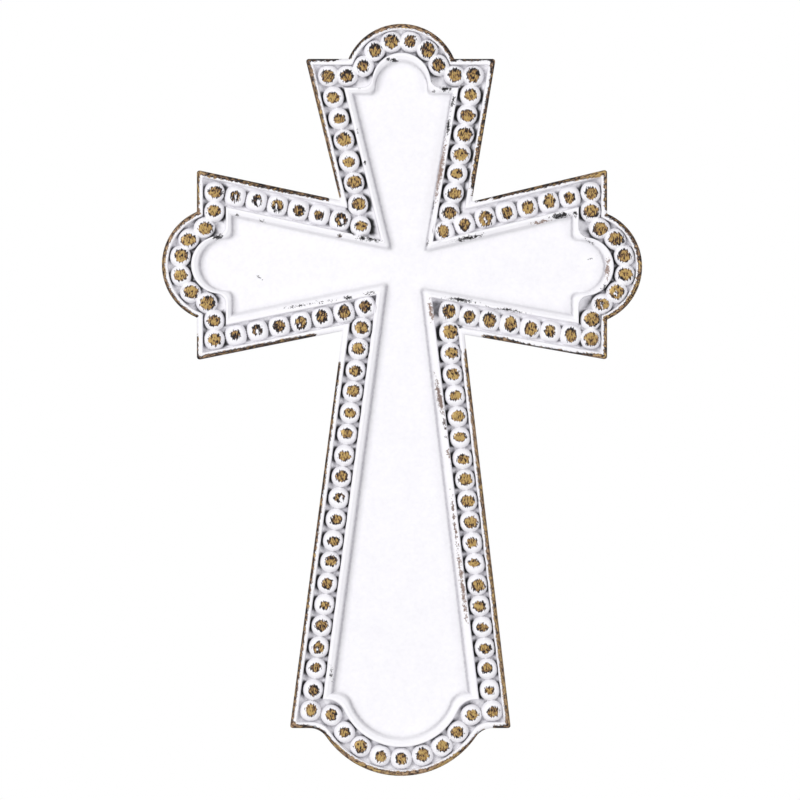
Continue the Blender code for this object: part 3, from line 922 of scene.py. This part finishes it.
def inside(points):
    """A test for whether a place lies inside a closed line of points, sped up by rows."""
    rows = {}
    for start, end in zip(points, points[1:] + points[:1]):
        low, high = sorted((start.y, end.y))
        for row in range(math.floor(low / ROW_HEIGHT), math.floor(high / ROW_HEIGHT) + 1):
            rows.setdefault(row, []).append((start, end))

    def test(place):
        hits = 0
        for start, end in rows.get(math.floor(place.y / ROW_HEIGHT), ()):
            if (start.y > place.y) != (end.y > place.y):
                cross = start.x + (place.y - start.y) * (end.x - start.x) / (end.y - start.y)
                hits += cross > place.x
        return hits % 2 == 1

    return test


# Rings of the outer wall, as heights and insets
WALL_STEPS = ((0.0, 0.00045), (0.0004, 0.00012), (0.0020, 0.00008), (0.0045, 0.00008),
              (0.0070, 0.00008), (0.0090, 0.00008), (0.0102, 0.00008), (0.0110, 0.00008))
FOOT_CLEARANCE = 0.00009


def bead_places(bead, others):
    """Places in rings over a bead and round its foot, but for those nearer to another bead."""
    rings = [(0.0, 1)] + [(share, BEAD_SIDES) for share in BEAD_SHARES]
    places = []
    for share, sides in rings + [(FOOT_SHARE, BEAD_SIDES // 2)]:
        for side in range(sides):
            angle = (side + 0.5 * (round(share * 100) % 2)) * 2 * math.pi / sides
            toward = Vector((math.cos(angle), math.sin(angle)))
            reach = bead.size * share
            if share > 0:
                reach /= bead_share(bead, bead.centre + toward * bead.size)
            place = bead.centre + toward * reach
            own = (place - bead.centre).length + 0.0001
            if all((place - other.centre).length >= own for other in others):
                places.append(place)
    return places


def field_places():
    """Places all over the field, closer together at its flecks."""
    grids = [(Vector((0.0, 0.0)), FIELD_STEP, *FIELD_GRID)]
    grids += [(on_cross(x, y), FLECK_STEP, *FLECK_GRID) for x, y, *_ in FLECKS]
    for middle, step, rows, columns in grids:
        for row in rows:
            for column in columns:
                yield middle + Vector((column + 0.5 * (row % 2), row)) * step


def make_relief():
    beads, bridges = make_beads()
    relief = Relief(beads, bridges)
    edge_height = base_height(RIM_INSETS[0])
    walls = [relief.add_ring(inset, height, edge_height - height) for height, inset in WALL_STEPS]
    rims = [relief.add_ring(inset, base_height(inset)) for inset in RIM_INSETS]
    moulding = [MOULDING_START + offset for offset in CREST_OFFSETS]
    moulding += [MOULDING_START + CREST_WIDTH + offset for offset in STEP_OFFSETS]
    moulding += [FIELD_START + offset for offset in FIELD_OFFSETS]
    ridges = [relief.add_ring(inset, base_height(inset)) for inset in moulding]
    for rings in (walls + rims, ridges):
        for back, front in zip(rings, rings[1:]):
            relief.join(back, front)

    # The channel's floor and the beads in it
    outer = inside(ring(RIM_INSETS[-1] + FOOT_CLEARANCE)[0])
    inner = inside(ring(moulding[0] - FOOT_CLEARANCE)[0])
    numbers = []
    for bead in beads:
        others = [other for other in relief.near_beads(bead.centre, NEIGHBOUR_REACH)
                  if other is not bead]
        for place in bead_places(bead, others):
            if outer(place) and not inner(place):
                numbers.append(relief.add(place, relief.bead_height(place, CHANNEL_HEIGHT)))
    hole = inside([relief.places[number] for number in ridges[0]])
    relief.fill([rims[-1], ridges[0]], numbers, lambda middle: not hole(middle))

    # The field and the back
    border = inside(ring(moulding[-1] + FIELD_STEP / 3)[0])
    coat = Coat(grime=FIELD_PAINTED_SHADE)
    numbers = [relief.add(place, FIELD_HEIGHT, coat, False, CALM_SHARE)
               for place in field_places() if border(place)]
    relief.fill([ridges[-1]], numbers, lambda middle: True)
    relief.fill([walls[0]], [], lambda middle: True)
    return relief


def circle(centre, diameter, sides):
    angles = [(number + 0.5) * 2 * math.pi / sides for number in range(sides)]
    radius = diameter / 2
    return [(centre[0] + radius * math.cos(a), centre[1] + radius * math.sin(a)) for a in angles]


def slot(centre, width, length, sides):
    points = circle(centre, width, sides)
    return [(x, z) if z < centre[1] else (x, z + length) for x, z in points]


def prism(bm, points, start, end):
    """A closed cutter through a ring of points, between two heights over the back."""
    loops = [[bm.verts.new((x, -height, z)) for x, z in points] for height in (start, end)]
    for number in range(len(points)):
        after = (number + 1) % len(points)
        bm.faces.new((loops[0][number], loops[0][after], loops[1][after], loops[1][number]))
    bm.faces.new(reversed(loops[0]))
    bm.faces.new(loops[1])


def link(name, data):
    """A new object in the scene."""
    item = bpy.data.objects.new(name, data)
    bpy.context.scene.collection.objects.link(item)
    return item


def keyhole_cutters():
    centre = (0.0, KEYHOLE_HEIGHT)
    mouth = circle(centre, SCREW_HEAD_DIAMETER + 4 * SCREW_PLAY, KEYHOLE_SIDES)
    neck = slot(centre, SCREW_SHANK_DIAMETER + 2 * SCREW_PLAY, KEYHOLE_DROP, KEYHOLE_SIDES)
    pocket = slot(centre, SCREW_HEAD_DIAMETER + 2 * SCREW_PLAY, KEYHOLE_DROP, KEYHOLE_SIDES)
    cuts = [(mouth, -CUT_MARGIN, KEYHOLE_DEPTH), (neck, -CUT_MARGIN, KEYHOLE_LIP + SCREW_PLAY),
            (pocket, KEYHOLE_LIP, KEYHOLE_DEPTH - SCREW_PLAY)]
    cutters = []
    for points, start, end in cuts:
        bm = bmesh.new()
        prism(bm, points, start, end)
        bmesh.ops.recalc_face_normals(bm, faces=bm.faces)
        mesh = bpy.data.meshes.new("keyhole_cutter")
        bm.to_mesh(mesh)
        bm.free()
        cutters.append(link("keyhole_cutter", mesh))
    return cutters


# Faces up to so far over the back that look straight at the wall or away from it are shaded flat
FLAT_NORMAL = 0.999
BACK_ZONE = 0.006


def make_casting(material):
    relief = make_relief()
    mesh = bpy.data.meshes.new("cross_casting")
    verts = [(place.x, -height, place.y) for place, height in zip(relief.places, relief.heights)]
    mesh.from_pydata(verts, [], relief.faces)
    for layer, values in relief.paint.items():
        if layer in ("grain", "stroke"):
            attribute = mesh.attributes.new(layer, "FLOAT_VECTOR", "POINT")
            attribute.data.foreach_set("vector", [part for value in values for part in value])
        else:
            attribute = mesh.attributes.new(layer, "FLOAT", "POINT")
            attribute.data.foreach_set("value", values)
    bm = bmesh.new()
    bm.from_mesh(mesh)
    bmesh.ops.recalc_face_normals(bm, faces=bm.faces)
    bm.to_mesh(mesh)
    bm.free()
    mesh.materials.append(material)
    casting = link("cross_casting", mesh)

    cutters = keyhole_cutters()
    for cutter in cutters:
        modifier = casting.modifiers.new(cutter.name, "BOOLEAN")
        modifier.operation = "DIFFERENCE"
        modifier.solver = "EXACT"
        modifier.object = cutter
    depsgraph = bpy.context.evaluated_depsgraph_get()
    finished = bpy.data.meshes.new_from_object(casting.evaluated_get(depsgraph))
    casting.modifiers.clear()
    casting.data = finished
    finished.name = "cross_casting_mesh"
    for cutter in cutters:
        bpy.data.objects.remove(cutter)
    for polygon in finished.polygons:
        flat = abs(polygon.normal.y) >= FLAT_NORMAL and polygon.center.y >= -BACK_ZONE
        polygon.use_smooth = not flat
    return casting


# Paint


class Nodes:
    """Short calls that add shader nodes and join them."""

    def __init__(self, tree):
        self.tree = tree

    def new(self, kind, **settings):
        node = self.tree.nodes.new(kind)
        for name, value in settings.items():
            setattr(node, name, value)
        return node

    def put(self, socket, value):
        if isinstance(value, bpy.types.NodeSocket):
            self.tree.links.new(value, socket)
        else:
            socket.default_value = value

    def made(self, kind, values, output=0, **settings):
        """An output of a new node whose inputs, by name or number, get these values."""
        node = self.new(kind, **settings)
        for key, value in values.items():
            self.put(node.inputs[key], value)
        return node.outputs[output]

    def attribute(self, name, output="Fac"):
        return self.made("ShaderNodeAttribute", {}, output, attribute_name=name)

    def math(self, operation, *values):
        return self.made("ShaderNodeMath", dict(enumerate(values)), operation=operation)

    def times(self, first, second):
        return self.math("MULTIPLY", first, second)

    def total(self, first, *others):
        for other in others:
            first = self.math("ADD", first, other)
        return first

    def stretch(self, vector, scale):
        return self.made("ShaderNodeMapping", {"Vector": vector, "Scale": scale})

    def part(self, vector, axis):
        return self.made("ShaderNodeSeparateXYZ", {0: vector}, axis)

    def noise(self, vector, scale, detail=2.0, roughness=0.5):
        values = {"Vector": vector, "Scale": scale, "Detail": detail, "Roughness": roughness}
        return self.made("ShaderNodeTexNoise", values, "Fac")

    def map_range(self, *values, **settings):
        """A value taken from one span to another: the value, the two ends, and their new values."""
        return self.made("ShaderNodeMapRange", dict(enumerate(values)), **settings)

    def sway(self, noise, amount):
        """A noise spread out to run from -amount to amount about its middle."""
        return self.map_range(noise, 0.3, 0.7, -amount, amount)

    def rise(self, value, start, end):
        """0 at the start, 1 at the end, eased between."""
        return self.map_range(value, start, end, interpolation_type="SMOOTHSTEP")

    def mix(self, share, first, second, blend="MIX"):
        values = {"Factor": share, 6: first, 7: second}
        return self.made("ShaderNodeMix", values, 2, data_type="RGBA", blend_type=blend)

    def tints(self, value, base, *layers):
        """A base colour under others, each laid on as a value goes from its start to its end."""
        for start, end, colour in layers:
            base = self.mix(self.rise(value, start, end), base, colour)
        return base

    def ramp(self, value, *stops):
        node = self.new("ShaderNodeValToRGB")
        self.put(node.inputs["Fac"], value)
        elements = node.color_ramp.elements
        while len(elements) < len(stops):
            elements.new(1.0)
        for element, (position, colour) in zip(elements, stops):
            element.position = position
            element.color = colour
        return node.outputs["Color"]


def grey(level, tint=0.0):
    return (level, level * (1 - tint * 0.35), level * (1 + tint), 1.0)


WHITE = (0.93, 0.92, 0.95, 1.0)
DULL_WHITE = (0.912, 0.902, 0.937, 1.0)
GOLD = (0.34, 0.185, 0.045, 1.0)
LIGHT_GOLD = (0.54, 0.37, 0.13, 1.0)
BROWN = (0.092, 0.049, 0.029, 1.0)
TAN = (0.50, 0.34, 0.20, 1.0)
RUST = (0.22, 0.125, 0.075, 1.0)
MAUVE_BROWN = (0.30, 0.215, 0.18, 1.0)
BLACK = (0.012, 0.010, 0.011, 1.0)
THIN_PAINT = (0.60, 0.57, 0.60, 1.0)


def make_paint():
    material = bpy.data.materials.new("distressed_paint")
    material.use_nodes = True
    tree = material.node_tree
    tree.nodes.clear()
    n = Nodes(tree)
    shader = n.new("ShaderNodeBsdfPrincipled")
    n.put(n.new("ShaderNodeOutputMaterial").inputs["Surface"], shader.outputs[0])

    # In millimetres, over the whole casting, and along and across the brush strokes of each bead
    place = n.stretch(n.new("ShaderNodeTexCoord").outputs["Object"], (1000.0, 1000.0, 1000.0))
    grain = n.attribute("grain", "Vector")
    tone = n.attribute("tone")

    flat = n.stretch(grain, (1.0, 1.0, 0.0))
    streaks = n.noise(n.stretch(flat, (1.7, 0.5, 1.0)), 1.0, 1.0)
    hairs = n.noise(n.stretch(flat, (2.9, 1.0, 1.0)), 1.0, 1.0)
    blotches = n.noise(flat, 0.55)
    grit = n.noise(place, 2.2, 3.0, 0.65)
    drift = n.noise(place, 0.12, 3.0)
    chips = n.noise(place, 0.7, 4.0, 0.65)

    # White coat, darkened with painted shade in the crevices
    coat = n.mix(n.rise(drift, 0.35, 0.75), WHITE, DULL_WHITE)
    cavity_shade = n.math("ADD", n.attribute("cavity_shade"), n.sway(chips, 0.06))
    crevice_shade_colour = n.ramp(cavity_shade, (0.0, grey(1.0)), (0.25, grey(0.88)), (0.45, grey(0.55, 0.03)),
                  (0.65, grey(0.14, 0.03)), (0.85, grey(0.012)))
    colour = n.mix(1.0, coat, crevice_shade_colour, "MULTIPLY")

    # Bead tops rubbed through: thinned paint, a dark ragged border, gold inside with dark hairs
    depth = n.total(n.attribute("worn"), n.sway(streaks, -0.45), n.sway(hairs, -0.25),
                    n.sway(blotches, 0.25), 0.15)
    patch = n.rise(depth, 0.0, 0.2)
    ink = n.total(n.sway(streaks, 0.80), n.sway(hairs, 0.60), n.sway(blotches, 0.35),
                  n.times(n.math("MINIMUM", depth, 1.4), 0.26),
                  n.times(n.rise(depth, 0.55, 0.05), -0.42),
                  n.times(n.part(grain, 2), -0.10),
                  n.math("MULTIPLY_ADD", tone, -0.75, 0.46))
    rubbed = n.tints(ink, GOLD, (0.25, 0.9, LIGHT_GOLD), (0.44, 0.22, RUST), (0.26, 0.0, BROWN),
                     (0.09, -0.19, BLACK))
    colour = n.mix(n.times(n.rise(depth, -0.35, 0.0), 0.3), colour, THIN_PAINT)
    colour = n.mix(patch, colour, rubbed)

    # Outer edge rubbed through, its strokes running along it, with painted shade darkening it at the
    # outer edge and down the outer wall
    stroke = n.attribute("stroke", "Vector")
    lines = n.noise(n.stretch(stroke, (2.2, 0.45, 1.0)), 1.0, 2.0, 0.6)
    teeth = n.noise(n.stretch(stroke, (0.5, 2.2, 1.0)), 1.0, 1.0)
    tints = n.noise(n.stretch(stroke, (0.3, 0.10, 1.0)), 1.0, 1.0)
    edge = n.total(n.attribute("edge"), n.sway(chips, 0.38), n.sway(teeth, 0.32), n.sway(lines, 0.15))
    band = n.rise(edge, -0.1, 0.1)
    ink = n.total(n.sway(lines, 0.80), n.sway(chips, 0.75), n.sway(teeth, 0.50),
                  n.times(n.math("MINIMUM", edge, 0.8), 0.45),
                  # Painted shade: darker at the outer edge and down the outer wall, which turns away
                  # from the front
                  n.times(n.rise(n.part(stroke, 0), 0.35, 0.05), -0.30),
                  n.math("MULTIPLY_ADD", tone, -1.30, 0.57))
    bare = n.mix(n.rise(tints, 0.42, 0.58), TAN, LIGHT_GOLD)
    bare = n.mix(n.rise(ink, 0.35, 0.8), RUST, bare)
    bare = n.tints(ink, bare, (0.30, 0.05, BROWN), (0.10, -0.15, BLACK))
    colour = n.mix(band, colour, bare)

    # Scuffs on the moulding
    scuff = n.total(n.attribute("scuff"), n.sway(chips, 0.7), n.sway(grit, 0.6))
    mark = n.rise(scuff, 0.1, 0.3)
    colour = n.mix(mark, colour, n.mix(n.rise(tone, 0.4, 0.7), MAUVE_BROWN, BLACK))
    n.put(shader.inputs["Base Color"], colour)

    bared = n.math("MAXIMUM", n.math("MAXIMUM", patch, band), mark)
    n.put(shader.inputs["Roughness"], n.math("MULTIPLY_ADD", bared, -0.12, 0.52))
    n.put(shader.inputs["Metallic"], n.times(n.math("MAXIMUM", patch, band), 0.25))
    shader.inputs["Specular IOR Level"].default_value = 0.4

    # The coat's thickness, and brush marks and grit in it
    level = n.total(n.math("MULTIPLY_ADD", bared, -0.5, n.times(grit, 0.12)),
                    n.times(hairs, 0.10))
    values = {"Strength": 0.5, "Distance": 0.0001, "Height": level}
    n.put(shader.inputs["Normal"], n.made("ShaderNodeBump", values))
    return material


# Studio: a pale floor well under the hanging cross, soft lights and the camera

VIEW_DISTANCE = 3.0
VIEW_WIDTH = 800 * VIEW_PIXEL
VIEW_CENTRE = on_cross(400.0, 400.0)
SENSOR_WIDTH = 36.0
FLOOR_HEIGHT = -2.2
FLOOR_SIZE = 4.0
AMBIENT = 0.44

# Lights with their places, widths and power, all aimed at one place
AIM = (0.0, 0.0, -0.05)
LIGHTS = [
    ("key_left", (-1.35, -1.8, 0.3), 1.1, 25.5),
    ("fill_right", (1.7, -1.5, 0.1), 0.9, 9.0),
    ("high", (0.0, -1.5, 1.5), 0.8, 4.5),
    ("low", (0.0, -1.5, -1.5), 0.8, 6.0),
]


def make_floor():
    mesh = bpy.data.meshes.new("studio_floor")
    half = FLOOR_SIZE / 2
    corners = [(-half, -half), (half, -half), (half, half), (-half, half)]
    mesh.from_pydata([(x, y, FLOOR_HEIGHT) for x, y in corners], [], [(0, 1, 2, 3)])
    material = bpy.data.materials.new("pale_floor")
    material.use_nodes = True
    shader = material.node_tree.nodes["Principled BSDF"]
    shader.inputs["Base Color"].default_value = (0.86, 0.86, 0.86, 1.0)
    shader.inputs["Roughness"].default_value = 0.8
    mesh.materials.append(material)
    link("studio_floor", mesh)


def make_light(name, place, size, power):
    lamp = bpy.data.lights.new(name, "AREA")
    lamp.shape = "SQUARE"
    lamp.size = size
    lamp.energy = power
    light = link(name, lamp)
    light.location = place
    light.rotation_mode = "QUATERNION"
    light.rotation_quaternion = (Vector(AIM) - Vector(place)).to_track_quat("-Z", "Y")
    light.visible_camera = False


def make_world():
    world = bpy.data.worlds.new("studio")
    bpy.context.scene.world = world
    world.use_nodes = True
    tree = world.node_tree
    tree.nodes.clear()
    n = Nodes(tree)
    shades = [n.made("ShaderNodeBackground", {"Color": colour, "Strength": strength})
              for colour, strength in (((0.985, 0.98, 1.0, 1.0), AMBIENT), ((1.0,) * 4, 1.0))]
    seen = n.new("ShaderNodeLightPath").outputs["Is Camera Ray"]
    mixed = n.made("ShaderNodeMixShader", {"Fac": seen, 1: shades[0], 2: shades[1]})
    n.put(n.new("ShaderNodeOutputWorld").inputs["Surface"], mixed)


def make_camera():
    data = bpy.data.cameras.new("view")
    data.sensor_width = SENSOR_WIDTH
    data.lens = SENSOR_WIDTH * VIEW_DISTANCE / VIEW_WIDTH
    data.clip_start = 0.1
    data.clip_end = 50.0
    camera = link("view", data)
    camera.location = (VIEW_CENTRE.x, -VIEW_DISTANCE - RIM_HEIGHT, VIEW_CENTRE.y)
    camera.rotation_euler = (math.pi / 2, 0.0, 0.0)
    bpy.context.scene.camera = camera


casting = make_casting(make_paint())
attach(casting, "root")
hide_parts("cross")

make_floor()
make_world()
for light in LIGHTS:
    make_light(*light)
make_camera()
bpy.context.scene.view_settings.view_transform = "Standard"
